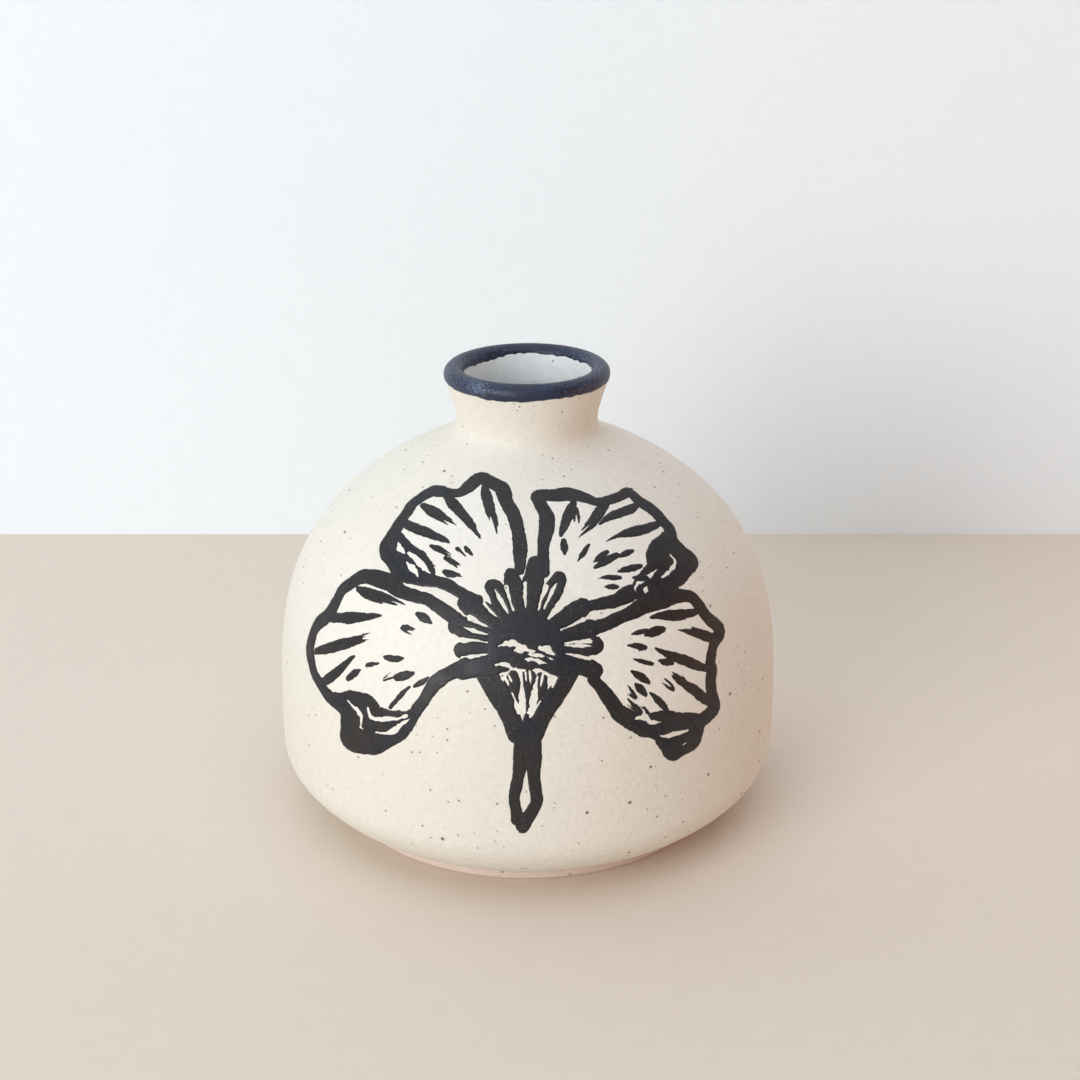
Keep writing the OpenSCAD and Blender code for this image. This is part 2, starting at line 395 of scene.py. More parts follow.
def bandMaterial():
    # The same underglaze brushed round the lip while the vase turned: blue-black with fine streaks round
    # the lip, paler in patches where the brush ran thin and by the scuffs, and paler towards the lip's left
    # and right sides as painted sheen.
    material, tree, shader, place = startMaterial("bandedBlueUnderglaze", bandInk["roughness"])
    run = addNode(tree, "Attribute", attribute_name="brushRun").outputs["Vector"]
    streak = addNode(tree, "TexNoise", {"Vector": run, "Scale": perMetre(5), "Detail": 3.0})
    base = addNode(tree, "MapRange", {"Value": streak, "From Min": 0.35, "From Max": 0.7})
    mixed = addNode(tree, "Mix", {mixFactor: base, mixFirst: bandInk["dark"], mixSecond: bandInk["light"]},
                    data_type="RGBA")
    grain = addNode(tree, "TexNoise", {"Vector": place, "Scale": perMetre(0.45), "Detail": 2.0})
    # this attribute carries thin brushing and scuff wear, plus painted sheen that grows towards the lip's
    # left and right sides
    thin = addNode(tree, "Attribute", attribute_name="worn").outputs["Fac"]
    worn = addNode(tree, "Math", {0: grain, 1: thin}, operation="MULTIPLY")
    share = addNode(tree, "MapRange", {"Value": worn, "From Min": 0.3, "From Max": 0.6, "To Max": 0.7})
    colour = addNode(tree, "Mix", {mixFactor: share, mixFirst: mixed, mixSecond: bandInk["worn"]},
                     data_type="RGBA")
    bump = addNode(tree, "Bump", {"Strength": 0.4, "Distance": 0.00008, "Height": streak})
    setShader(tree, shader, {"Base Color": colour, "Normal": bump})
    return material


brushedBand = bandMaterial()

print("materials made")

outline = {
    "step": 0.8,              # millimetres between the body's rings
    "fineStep": 0.35,         # and between the lip's
    "lipRounding": 10,        # rounds of smoothing
    "bellyRounding": 9,
    "roundedBelow": 24.0,     # the foot turn is eased into the belly below this height
}


def bodyOutline():
    # up the outside from the root of the foot to the seam, across, and down the inside
    low, high = turned["footHeight"], turned["seamHeight"]
    outerHeights = low + (high - low) * np.linspace(0, 1, 1500)
    outer = np.stack([bodyRadius(outerHeights), outerHeights], -1)
    innerHeights = np.linspace(high, turned["floorHeight"], 1200)
    inner = np.stack([hollowRadius(innerHeights), innerHeights], -1)
    bottom = np.array([[turned["baseRadius"], turned["footHeight"]]])
    outer = resample(outer, outline["step"])
    eased = np.searchsorted(outer[:, 1], outline["roundedBelow"])
    outer[:eased] = relax(outer[:eased], outline["bellyRounding"])
    return np.vstack([outer, resample(inner, 2 * outline["step"]), bottom])


def lipPath(down, downInside):
    # up the outside of the neck, half a circle over the lip and down the inside
    outerHeights = np.linspace(down, turned["lipHeight"], 200)
    outer = np.stack([neckRadius(outerHeights), outerHeights], -1)
    swing = np.linspace(0, np.pi, 90)[1:-1]
    roll = np.stack([turned["lipCentreRadius"] + turned["lipRoll"] * np.cos(swing),
                     turned["lipHeight"] + turned["lipRoll"] * np.sin(swing)], -1)
    innerHeights = np.linspace(turned["lipHeight"], downInside, 200)
    inner = np.stack([throatWidth(innerHeights), innerHeights], -1)
    return relax(resample(np.vstack([outer, roll, inner]), outline["fineStep"]), outline["lipRounding"])


points, faces = turnOutline(bodyOutline(), closed=True)
makePiece("thrownBody", points, faces, stoneware, "body_wall")

neckLine = lipPath(turned["seamHeight"], turned["seamHeight"])
points, faces = turnOutline(neckLine, closed=True)
# the inside of the neck, past the lip's top, is marked for the greyer painted-shade colour
pastLip = np.clip(np.arange(len(neckLine)) - neckLine[:, 1].argmax(), 0, 4) / 4
paintedShadeInNeck = np.repeat(pastLip, turned["turns"])
makePiece("flaredNeck", points, faces, stoneware, "neck_collar",
          values=[("inside", "FLOAT", paintedShadeInNeck)])

foot = {"outer": 42.5, "inner": 36.0, "height": 2.0, "bevel": 0.55, "steps": 6}


def footOutline():
    # a rectangle with every corner rounded by a quarter circle of the bevel's radius
    bevel = foot["bevel"]
    swing = np.linspace(0, np.pi / 2, foot["steps"])
    corners = []
    inner, outer = foot["inner"] + bevel, foot["outer"] - bevel
    low, high = bevel, foot["height"] - bevel
    for radius, height, start in ((inner, low, np.pi), (outer, low, 1.5 * np.pi), (outer, high, 0.0),
                                  (inner, high, 0.5 * np.pi)):
        corners.append(np.stack([radius + bevel * np.cos(start + swing),
                                 height + bevel * np.sin(start + swing)], -1))
    return np.vstack(corners)


points, faces = turnOutline(footOutline(), closed=True, wobble=0.0)
makePiece("turnedFoot", points, faces, footClay, "foot_ring")

base = {"radius": 39.98, "rings": 9, "ringDepth": 0.09, "dish": 0.25}


def baseOutline():
    # underside: a shallow dish with trimming rings of a cosine; then straight up and back over the top
    across = np.linspace(0, base["radius"], 121)
    part = across / base["radius"]
    rings = base["ringDepth"] * (1 - np.cos(2 * np.pi * base["rings"] * part ** 0.9)) / 2
    hollow = (base["dish"] * (1 - part ** 2) + rings) * (1 - part ** 12)
    under = np.stack([across, turned["footHeight"] + hollow], -1)
    over = np.stack([across[::-4], np.full(len(across[::-4]), turned["floorHeight"])], -1)
    return np.vstack([under, over[:-1], [[0, turned["floorHeight"]]]])


points, faces = turnOutline(baseOutline(), closed=False, wobble=0.0)
makePiece("trimmedBase", points, faces, footClay, "base_floor", sharp=35)

linerCoat = {"thickness": 0.4, "top": 83.0, "fade": 2.5}


def linerOutline():
    # against the wall from the floor's centre up to the edge, then back down one coat further in
    rise = np.linspace(turned["floorHeight"] + 0.01, linerCoat["top"], 400)
    wallSide = resample(np.stack([hollowRadius(rise) - 0.01, rise], -1), 1.2)
    fade = np.clip((linerCoat["top"] - rise) / linerCoat["fade"], 0.05, 1)
    coat = linerCoat["thickness"] * fade * fade * (3 - 2 * fade)
    openSide = np.stack([hollowRadius(rise, coat), np.maximum(rise, turned["floorHeight"] + 0.4)], -1)
    openSide = resample(openSide[::-1], 1.2)
    return np.vstack([[[0, turned["floorHeight"] + 0.01]], wallSide, openSide,
                      [[0, turned["floorHeight"] + 0.4]]])


points, faces = turnOutline(linerOutline(), closed=False)
makePiece("pouredLiner", points, faces, linerGlaze, "inner_glaze")
print("clay made")


def latticeNoise(across, along, seed):
    # random values on a square lattice, smoothly joined between its points
    cells = 64
    table = np.random.default_rng(seed).uniform(-1, 1, (cells, cells))
    column, row = np.floor(across).astype(int), np.floor(along).astype(int)
    partX, partY = across - column, along - row
    partX, partY = smoothStep(partX), smoothStep(partY)
    nextColumn, nextRow = (column + 1) % cells, (row + 1) % cells
    column, row = column % cells, row % cells
    low = table[column, row] * (1 - partX) + table[nextColumn, row] * partX
    high = table[column, nextRow] * (1 - partX) + table[nextColumn, nextRow] * partX
    return low * (1 - partY) + high * partY


# Which of a cell's corners (0 to 3) and edge crossings (4 to 7) bound the painted part, by the sum of
# 1, 2, 4, 8 for the painted corners.
cellShapes = {
    1: [(0, 4, 7)], 2: [(4, 1, 5)], 3: [(0, 1, 5, 7)], 4: [(5, 2, 6)], 5: [(0, 4, 7), (5, 2, 6)],
    6: [(4, 1, 2, 6)], 7: [(0, 1, 2, 6, 7)], 8: [(6, 3, 7)], 9: [(0, 4, 6, 3)],
    10: [(4, 1, 5), (6, 3, 7)], 11: [(0, 1, 5, 6, 3)], 12: [(5, 2, 3, 7)], 13: [(0, 4, 5, 2, 3)],
    14: [(4, 1, 2, 3, 7)], 15: [(0, 1, 2, 3)],
}


def coatMesh(field, place, normal, thickness, edge, carried):
    # the part of the grid where the field is above zero, cut along its zero line: an upper skin raised by
    # thickness times smoothstep(field / edge), a lower skin just under the clay, joined at the zero line
    rows, columns = field.shape
    painted = field > 0
    shift = np.clip(field / edge, 0, 1)
    lift = thickness * shift * shift * (3 - 2 * shift)
    sink = 0.02 * shift
    index = np.full(field.shape, -1)
    index[painted] = np.arange(painted.sum())
    upper = (place + normal * lift[..., None])[painted]
    lower = (place - normal * sink[..., None])[painted]
    solid = painted.sum()
    crossings, crossIndex, crossData = [], [], []
    count = 2 * solid
    for axis in (1, 0):           # crossings on the lines round the vase, then on those up it
        nextField = np.roll(field, -1, axis)
        crosses = (field > 0) != (nextField > 0)
        if axis == 0:
            crosses[-1] = False
        share = np.where(crosses, field / np.where(crosses, field - nextField, 1), 0)
        share = np.clip(share, 0.04, 0.96)[crosses][:, None]
        crossings.append(place[crosses] * (1 - share) + np.roll(place, -1, axis)[crosses] * share)
        crossData.append([data[crosses] * (1 - share) + np.roll(data, -1, axis)[crosses] * share
                          if data.ndim == 3 else
                          data[crosses] * (1 - share[:, 0]) + np.roll(data, -1, axis)[crosses] * share[:, 0]
                          for data in carried])
        ids = np.full(field.shape, -1)
        ids[crosses] = count + np.arange(crosses.sum())
        crossIndex.append(ids)
        count += crosses.sum()
    level, upright = crossIndex
    corners = [index, np.roll(index, -1, 1), np.roll(index, (-1, -1), (0, 1)), np.roll(index, -1, 0)]
    edges = [level, np.roll(upright, -1, 1), np.roll(level, -1, 0), upright]
    cell = np.stack(corners + edges, -1)[:-1]
    case = sum((corner >= 0)[:-1] * weight for corner, weight in zip(corners, (1, 2, 4, 8)))
    upperFaces, lowerFaces = {3: [], 4: [], 5: []}, {3: [], 4: [], 5: []}
    for number, shapes in cellShapes.items():
        chosen = cell[case == number]
        for shape in shapes:
            ring = chosen[:, list(shape)]
            upperFaces[len(shape)].append(ring)
            lowered = np.where(ring < solid, ring + solid, ring)
            lowerFaces[len(shape)].append(lowered[:, ::-1])
    faceLists = [np.vstack(upperFaces[size] + lowerFaces[size]) for size in (3, 4, 5)]
    points = np.vstack([upper, lower] + crossings)
    data = [np.concatenate([each[painted], each[painted], crossData[0][i], crossData[1][i]])
            for i, each in enumerate(carried)]
    return points, [faces for faces in faceLists if len(faces)], data


lipBand = {
    "radius": 17,             # lip's radius on which the streaks and scuffs are laid out, mm
    "below": 0.85,            # how far down the outside of the neck the band reaches, mm along the lip
    "sag": 0.5,               # it reaches this much lower at the front and higher at the back
    "inside": 6.0,            # where it ends inside, mm from the lip's widest line over the roll
    "waves": 0.42,            # how much its edges wander
    "deepBack": 0.9,          # waves by which it reaches further in at the back on the left
    "thickness": 0.16,
    "edge": 0.5,
    "step": 0.24,
    "turns": 560,
    "scuffs": [(-0.62, 0.16, 1.0), (-1.75, 0.2, 0.8)],   # angle, spread (radians) and strength
    "scuffDepth": 1.75,       # lower makes larger holes in the band
}


def ringNoise(angles, size, shift, seed):
    # noise that closes on itself round the lip, read on a circle of the given size
    return latticeNoise(np.cos(angles) * size + shift, np.sin(angles) * size + shift, seed)


def lipBandCoat():
    # on the lip's path (s, angle): the distance inside two wandering edges, with scuffs cut out
    angles = np.linspace(-np.pi, np.pi, lipBand["turns"], endpoint=False)
    path = resample(lipPath(92.5, 94.0), lipBand["step"])
    run = np.arange(len(path)) * lipBand["step"]
    widest = run[path[:, 0].argmax()]
    place, normal = surfacePoints(path, angles), surfaceNormals(path, angles)
    across = (run - widest)[:, None]
    around = angles[None, :]
    wander = (0.55 * np.sin(2 * angles + 1.1) + 0.3 * np.sin(5 * angles - 0.4)
              + 0.5 * ringNoise(angles, 2.4, 9, 3) + 0.45 * ringNoise(angles, 15, 20, 4))
    wanderIn = (0.6 * np.sin(angles + 2.4) + 0.45 * np.sin(3 * angles + 0.7)
                + 0.6 * ringNoise(angles, 3.1, 30, 5) + 0.3 * ringNoise(angles, 15, 40, 6)
                + lipBand["deepBack"] * np.exp(-((angles + 2.5) / 0.4) ** 2))
    lower = -lipBand["below"] + lipBand["waves"] * wander + lipBand["sag"] * np.cos(angles + np.pi)
    upper = lipBand["inside"] + 1.3 * lipBand["waves"] * wanderIn
    field = np.minimum(across - lower[None, :], upper[None, :] - across)
    length = around * lipBand["radius"]
    scuffs = (latticeNoise(length / 1.6 + 40, across / 0.34 + 30, 8)
              + 0.5 * latticeNoise(length / 0.5 + 50, across / 0.3, 9))
    where = sum(share * np.exp(-((around - angle) / spread) ** 2)
                for angle, spread, share in lipBand["scuffs"])
    onEdge = np.exp(-((across - 1.0) / 1.5) ** 2)
    # here only the scuffs' wear; the painted sheen of the sides is added to the paleness below
    worn = np.clip(where * onEdge, 0, 1)
    field = np.minimum(field, 0.5 * (lipBand["scuffDepth"] - worn * 0.9 - scuffs))
    brushRun = np.stack([lipBand["radius"] * np.cos(around) + 0 * across,
                         lipBand["radius"] * np.sin(around) + 0 * across,
                         9 * across + 0 * around], -1) * 0.001      # streaks nine times as long as wide
    # paler towards the left and right (|sin| of the angle) as painted sheen; the rest is thin brushing and
    # scuff wear
    thin = 0.47 + 0.23 * np.abs(np.sin(around)) + 0.4 * worn
    points, faces, data = coatMesh(field, place, normal, lipBand["thickness"], lipBand["edge"],
                                   [brushRun, thin])
    values = [("brushRun", "FLOAT_VECTOR", data[0]), ("worn", "FLOAT", data[1])]
    makePiece("brushedLipBand", points, faces, brushedBand, "rim_band", 60, values)


lipBandCoat()

blossom = {
    "tilt": 27.0,             # degrees above the level from which the blossom is laid out
    "heartHeight": 57.0,
    "lineWidth": 3.2,
    "ruffle": 3.4,            # how far the petals' edges wave, mm
    "step": 0.2,              # mm between grid points for lines
    "washStep": 0.4,
    "thickness": {"outlines": 0.11, "veins": 0.13, "stamens": 0.16, "stem": 0.14, "wash": 0.04},
    "edge": 0.35,             # mm over which a coat reaches its full thickness
}
slope = np.radians(blossom["tilt"])
heart = np.array([0.0, -float(bodyRadius(blossom["heartHeight"])), blossom["heartHeight"]])
flatAxes = np.array([[1.0, 0.0, 0.0], [0.0, np.sin(slope), np.cos(slope)]])   # right, and up the page
outAxis = np.array([0.0, -np.cos(slope), np.sin(slope)])


def pressOn(flat):
    # each flat point slides along the page's own direction until its radius equals the body's
    start = heart + flat @ flatAxes
    steps = np.linspace(45, -45, 181)
    along = start[:, None, :] + steps[None, :, None] * outAxis
    gap = np.hypot(along[..., 0], along[..., 1]) - bodyRadius(np.clip(along[..., 2], 2, 98))
    first = np.maximum(np.argmax(gap < 0, axis=1), 1)
    outside, inside = steps[first - 1], steps[first]
    for _ in range(16):                       # halving the gap between outside and inside
        middle = (outside + inside) / 2
        tried = start + middle[:, None] * outAxis
        isOut = np.hypot(tried[:, 0], tried[:, 1]) > bodyRadius(np.clip(tried[:, 2], 2, 98))
        outside, inside = np.where(isOut, middle, outside), np.where(isOut, inside, middle)
    return start + ((outside + inside) / 2)[:, None] * outAxis


def smoothLine(knots, step=0.35):
    # Catmull-Rom curve through the knots
    knots = np.asarray(knots, float)
    if len(knots) == 2:
        knots = np.array([knots[0], knots.mean(0), knots[1]])
    ends = np.vstack([2 * knots[0] - knots[1], knots, 2 * knots[-1] - knots[-2]])
    spans = []
    for before, start, stop, after in zip(ends, ends[1:], ends[2:], ends[3:]):
        part = np.linspace(0, 1, max(2, int(np.hypot(*(stop - start)) / step)), endpoint=False)[:, None]
        spans.append(0.5 * (2 * start + (stop - before) * part
                            + (2 * before - 5 * start + 4 * stop - after) * part ** 2
                            + (3 * start - before - 3 * stop + after) * part ** 3))
    return np.vstack(spans + [knots[-1:]])


def frontGrid(step):
    # the body's front as a grid of even steps up its outline (s) and round it (angle)
    heights = np.linspace(14, 84.5, 4000)
    outer = resample(np.stack([bodyRadius(heights), heights], -1), step)
    angles = np.linspace(-1.36, 1.36, int(2.72 * turned["bellyRadius"] / step))
    smooth = surfacePoints(outer, angles, 0.0)
    return {"smooth": smooth, "place": surfacePoints(outer, angles),
            "normal": surfaceNormals(outer, angles), "flat": (smooth - heart) @ flatAxes.T}


def outwardAt(places):
    # the body's outward direction at points on it, from the change of its radius with height
    height = places[:, 2]
    change = (bodyRadius(height + 0.05) - bodyRadius(height - 0.05)) / 0.1
    radius = np.hypot(places[:, 0], places[:, 1])
    return unit(np.stack([places[:, 0] / radius, places[:, 1] / radius, -change], -1))


def strokeField(grid, mark):
    # half the width less the distance from the stroke's middle line, with a wavering edge; a dry brush
    # also leaves bristle tracks, a noise that is long along the stroke and short across it
    line = pressOn(smoothLine(mark["path"]))
    run = np.concatenate([[0], np.cumsum(np.linalg.norm(np.diff(line, axis=0), axis=1))])
    ahead = unit(np.gradient(line, axis=0))
    sideways = np.cross(outwardAt(line), ahead)
    widths = np.asarray(mark["widths"], float)
    reach = widths.max() / 2 + 1.0
    smooth = grid["smooth"].reshape(-1, 3)
    inBox = np.all((smooth >= line.min(0) - reach) & (smooth <= line.max(0) + reach), axis=-1)
    chosen = np.nonzero(inBox)[0]
    near = np.empty(len(chosen), int)
    for start in range(0, len(chosen), 20000):            # in lots, to spare memory
        lot = smooth[chosen[start:start + 20000]]
        near[start:start + 20000] = ((lot[:, None] - line[None]) ** 2).sum(-1).argmin(1)
    apart = smooth[chosen] - line[near]
    across = (apart * sideways[near]).sum(1)
    along = run[near] + (apart * ahead[near]).sum(1)
    beyond = np.maximum(0, np.maximum(-along, along - run[-1]))
    part = np.clip(along / run[-1], 0, 1)
    half = np.interp(part, np.linspace(0, 1, len(widths)), widths) / 2
    rough, seed = mark["rough"], mark["seed"]
    side = np.sign(across)
    waver = rough * (latticeNoise(along / 2.4 + 3.1, side * 7.3 + 2, seed)
                     + 0.45 * latticeNoise(along / 0.6, side * 5.1 + 9, seed + 1))
    field = half + waver - np.hypot(across, beyond)
    if "dry" in mark:
        begins, amount = mark["dry"]
        bristle = (0.75 * latticeNoise(across / 0.42 + 20, along / 9 + 5, seed + 2)
                   + 0.25 * latticeNoise(across / 0.2, along / 2, seed + 3))
        lack = np.clip((part - begins) / (1 - begins + 1e-6), 0, 1) * amount * 2 - 1
        field = np.minimum(field, (bristle - lack) * 0.5)
    return chosen, field


def paintField(grid, marks):
    # the largest of the strokes' fields, with the bare slivers cut out, and how many coats lie there
    field = np.full(grid["smooth"].shape[0] * grid["smooth"].shape[1], -9.0)
    coats = np.zeros(len(field))
    for mark in marks:
        chosen, own = strokeField(grid, mark)
        if mark.get("bare"):
            field[chosen] = np.minimum(field[chosen], -own)
        else:
            field[chosen] = np.maximum(field[chosen], own)
            coats[chosen] += np.clip(own / 0.35, 0, 1)
    return field.reshape(grid["smooth"].shape[:2]), coats.reshape(grid["smooth"].shape[:2])


def fan(direction, distance):
    # a place on the page: degrees to the right of straight up, and millimetres from the heart
    angle = np.radians(direction)
    return np.stack([distance * np.sin(angle), distance * np.cos(angle)], -1)


# Each petal's edge runs from the heart round its rim and back, as (direction, distance). Veins are (place
# along the edge, start and end on the way to the root, bend), turned edges (from, to, depth) and touches
# (rows, count in a row).
petals = [
    {"name": "left", "root": (-90, 12), "seed": 11,
     "edge": [(-113, 12), (-117, 20), (-123, 28), (-124, 35), (-118, 40), (-110, 42), (-103, 42.5),
              (-96, 44.5), (-88, 45), (-81, 43), (-75, 42), (-68, 39), (-62, 33), (-60, 24), (-62, 14)],
     "veins": [(0.47, 0.07, 0.34, 0.05), (0.54, 0.09, 0.52, 0.06),
               (0.62, 0.07, 0.40, 0.05), (0.71, 0.14, 0.50, 0.04)],
     "turned": [(0.14, 0.42, 9.0)], "touches": (3, 6)},
    {"name": "upperLeft", "root": (-30, 13), "seed": 23,
     "edge": [(-54, 13), (-58, 22), (-62, 30), (-61, 36), (-55, 39.5), (-48, 40), (-41, 40.5), (-34, 40),
              (-27, 38.5), (-20, 38.5), (-12, 36.5), (-4, 32.5), (1, 25), (1, 15)],
     "veins": [(0.43, 0.07, 0.50, 0.06), (0.51, 0.12, 0.44, 0.06),
               (0.58, 0.07, 0.54, 0.07), (0.69, 0.14, 0.50, 0.05)],
     "turned": [(0.14, 0.40, 9.0)], "touches": (3, 6)},
    {"name": "upperRight", "root": (32, 13), "seed": 37,
     "edge": [(7, 15), (4, 24), (4, 31), (10, 35), (17, 36), (24, 36.5), (31, 38), (38, 38.5), (45, 40),
              (52, 40.5), (59, 39.5), (65, 36), (68, 29), (66, 21), (62, 14)],
     "veins": [(0.31, 0.14, 0.48, -0.05), (0.40, 0.07, 0.52, -0.06),
               (0.48, 0.10, 0.38, -0.06), (0.56, 0.08, 0.50, -0.07)],
     "turned": [(0.60, 0.86, 9.0)], "touches": (3, 7)},
    {"name": "right", "root": (92, 13), "seed": 41,
     "edge": [(68, 14), (69, 23), (69, 31), (74, 36.5), (81, 39), (88, 39.5), (95, 41), (102, 41), (109, 42),
              (116, 41.5), (123, 38.5), (128, 33), (128, 24), (121, 14)],
     "veins": [(0.30, 0.12, 0.46, -0.04), (0.38, 0.07, 0.36, -0.05),
               (0.46, 0.09, 0.52, -0.06), (0.55, 0.07, 0.44, -0.06)],
     "turned": [(0.60, 0.86, 8.5)], "touches": (3, 6)},
]


def petalLine(petal, part, inset=0.0):
    # places at even parts of the edge's length, ruffled by a noise along it and moved in to the middle
    line = relax(smoothLine(fan(*np.array(petal["edge"], float).T)), 12)
    run = lengthAlong(line)
    ahead = unit(np.gradient(line, axis=0))
    wave = blossom["ruffle"] * latticeNoise(run / 5.2 + petal["seed"], 0 * run + 3.3, petal["seed"])
    line = line + (wave * np.sin(np.pi * run / run[-1]))[:, None] * ahead[:, ::-1] * [1, -1]
    wanted = np.asarray(part, float) * run[-1]
    place = np.stack([np.interp(wanted, run, line[:, 0]), np.interp(wanted, run, line[:, 1])], -1)
    ahead = np.gradient(line, axis=0)
    inward = np.stack([np.interp(wanted, run, ahead[:, 1]), -np.interp(wanted, run, ahead[:, 0])], -1)
    return place + inset * unit(inward)


def insidePetal(petal, part, depth):
    # from a place on the edge straight towards the petal's root, by a share of the way
    edgePlace = petalLine(petal, np.atleast_1d(part))
    root = fan(*petal["root"])
    return edgePlace + (root - edgePlace) * np.atleast_1d(depth)[:, None]


def stroke(path, widths, seed, rough=0.15, **more):
    # one brush stroke: its middle line, widths along it, seed and how ragged its edges are
    return {"path": path, "widths": widths, "seed": seed, "rough": rough, **more}


def outlineMarks():
    # two strokes up the sides of each petal that meet on its rim, then the turned edge as broad touches
    # set in from the rim with a bare sliver between them
    marks = []
    inset = blossom["lineWidth"] / 2
    for petal in petals:
        seed = petal["seed"]
        rng = np.random.default_rng(seed)
        meet = 0.5 + 0.08 * rng.uniform(-1, 1)
        for number, ends in enumerate(((0.0, meet + 0.03), (1.0, meet - 0.03))):
            widths = blossom["lineWidth"] + 0.8 * rng.uniform(-1, 1, 11)
            widths[0] *= 0.8
            marks.append(stroke(petalLine(petal, np.linspace(*ends, 22), inset), widths, seed + number,
                                0.17))
        for first, last, depth in petal["turned"]:
            part = np.linspace(0, 1, 12)
            rim = petalLine(petal, first + (last - first) * part, inset)
            inward = unit(fan(*petal["root"]) - rim)
            bow = np.sin(np.pi * np.clip(part, 0.02, 0.98)) ** 0.75
            for number, share in enumerate((0.3, 0.65, 1.0)):
                slant = bow * depth * share * (0.75 + 0.5 * part if first < 0.4 else 1.25 - 0.5 * part)
                marks.append(stroke(rim + inward * slant[:, None], [1.4, 3.2, 3.8, 3.4, 2.6, 1.2],
                                    seed + 20 + number, 0.2))
            for number, (share, start, stop) in enumerate(((0.5, 2, 7), (0.95, 4, 10), (0.6, 8, 11))):
                sliver = (rim + inward * (bow * depth * share)[:, None])[start:stop]
                marks.append(stroke(sliver, [0.1, 0.5, 0.75, 0.5, 0.1], seed + 30 + number, 0.3,
                                    bare=True))
    return marks


def veinMarks():
    # long tapering strokes in from the rim, then rows of short touches, some of a dry brush
    marks = []
    for petal in petals:
        rng = np.random.default_rng(petal["seed"] + 5)
        for number, (part, start, stop, bend) in enumerate(petal["veins"]):
            along = np.linspace(0, 1, 8)
            path = insidePetal(petal, part + bend * along ** 1.6, start + (stop - start) * along)
            dry = {"dry": (0.55, 0.6)} if number % 2 else {}
            marks.append(stroke(path, [1.6, 2.3, 2.6, 2.5, 2.1, 1.6, 0.8], petal["seed"] + 40 + number,
                                0.18, **dry))
        rows, count = petal["touches"]
        for row in range(rows):
            for number in range(count):
                part = 0.27 + 0.5 * (number + 0.5 + 0.35 * rng.uniform(-1, 1)) / count
                start = 0.22 + 0.17 * row + 0.06 * rng.uniform(-1, 1)
                close = [stop for place, _, stop, bend in petal["veins"]
                         if abs(place + 0.6 * bend - part) < 0.035]
                length = rng.uniform(3.2, 6.6) / 34
                width = rng.uniform(1.3, 2.1)
                dry = {"dry": (0.0, 0.72)} if rng.uniform() < 0.4 else {}
                if close and start < max(close) + 0.05:
                    continue
                if any(first - 0.03 < part < last + 0.03 and start < 0.3
                       for first, last, _ in petal["turned"]):
                    continue
                depth = np.linspace(start, start + length, 4)
                drift = 0.02 * rng.uniform(-1, 1) * np.linspace(0, 1, 4)
                marks.append(stroke(insidePetal(petal, part + drift, depth),
                                    [width * 0.7, width, width * 0.95, width * 0.4],
                                    petal["seed"] + 60 + 10 * row + number, 0.16, **dry))
    return marks


stamenLook = {
    "count": 12, "spread": 112, "length": 14.2, "width": 4.0,
    "core": [(-7.5, -2.2), (-3.0, 0.6), (3.0, 0.4), (7.5, -2.8)],     # the round heart's one broad stroke
    "coreWidths": [7, 10.5, 10.5, 7],
    "split": (2, 4, 7, 10),   # stamens that a bare sliver runs down
    "scratches": [((-5.0, 0.2), (-0.5, 0.6)), ((-3.2, -0.9), (1.8, -0.6)), ((0.2, -1.4), (5.2, -2.2)),
                  ((-1.4, -2.4), (3.8, -3.2)), ((-5.8, -3.6), (-2.4, -4.0)), ((2.6, -0.2), (5.4, -1.2))],
}


def stamenMarks():
    # a round heart with broad touches fanned out from it, bare slivers between them and scratches in it
    rng = np.random.default_rng(77)
    spread, count = stamenLook["spread"], stamenLook["count"]
    marks = [stroke(stamenLook["core"], stamenLook["coreWidths"], 90, 0.3)]
    slivers = []
    for number, direction in enumerate(np.linspace(-spread, spread, count)):
        direction += 4 * rng.uniform(-1, 1)
        taller = 1.08 if abs(direction) < 60 else 0.92
        length = stamenLook["length"] * (1 + 0.17 * rng.uniform(-1, 1)) * taller
        bend = 2.5 * rng.uniform(-1, 1)
        path = [fan(direction, 3.0), fan(direction + bend, length * 0.6),
                fan(direction + bend * 0.4, length)]
        width = stamenLook["width"] * (1 + 0.12 * rng.uniform(-1, 1))
        marks.append(stroke(path, [2.2, width * 0.8, width * 0.98, width * 1.1, width * 0.9],
                            100 + number, 0.2))
        if number in stamenLook["split"]:
            split = [fan(direction + bend * share, length * part)
                     for share, part in ((0.8, 0.55), (0.6, 0.72), (0.4, 0.95))]
            slivers.append(stroke(split, [0.1, 0.5, 0.8, 0.6, 0.1], 130 + number, 0.22, bare=True))
        between = direction + spread / (count - 1)
        slivers.append(stroke([fan(between, 7.6), fan(between, 10), fan(between, 12.5)],
                              [0.1, 0.35, 0.6, 0.9], 150 + number, 0.2, bare=True))
    for number, (start, stop) in enumerate(stamenLook["scratches"]):
        middle = ((start[0] + stop[0]) / 2, (start[1] + stop[1]) / 2 + 0.4)
        slivers.append(stroke([start, middle, stop], [0.1, 0.7, 0.9, 0.6, 0.1], 160 + number, 0.6,
                              bare=True))
    return marks + slivers


